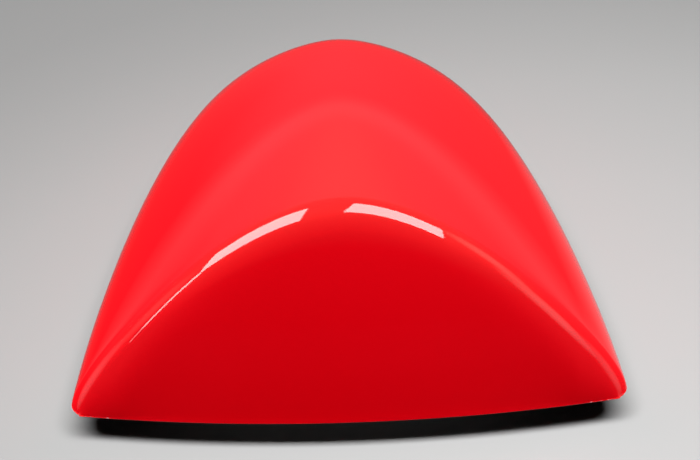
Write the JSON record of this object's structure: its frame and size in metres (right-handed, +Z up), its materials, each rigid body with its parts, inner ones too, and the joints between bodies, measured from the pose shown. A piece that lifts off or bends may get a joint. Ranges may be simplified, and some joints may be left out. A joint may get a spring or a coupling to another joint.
{
  "type": "seat cowl",
  "caption": "Domed one-piece moulded seat cowl for a motorbike, steep near face, rounded tail, ribbed hollow underside with a screwed plate, latch loop and rubber feet.",
  "frame": {"origin": "centre of the footprint, on the plane that the rubber feet stand on, 17 mm under the rim", "axes": "+X across to the right as seen from the near face, +Y back towards the tail, +Z up"},
  "size_m": [0.2692, 0.2936, 0.109],
  "materials": {
    "painted_moulding": "glossy lacquered signal red",
    "plated_sheet": "zinc plated pressed sheet",
    "plated_rod": "bright zinc plated rod",
    "screw_steel": "satin plated",
    "insert_brass": "turned",
    "black_rubber": "matt"
  },
  "bodies": {
    "root": {"cowl_shell": "painted_moulding", "mounting_plate": "plated_sheet", "latch_loop": "plated_rod", "plate_screws": "screw_steel", "boss_inserts": "insert_brass", "rubber_feet": "black_rubber"}
  },
  "joints": []
}
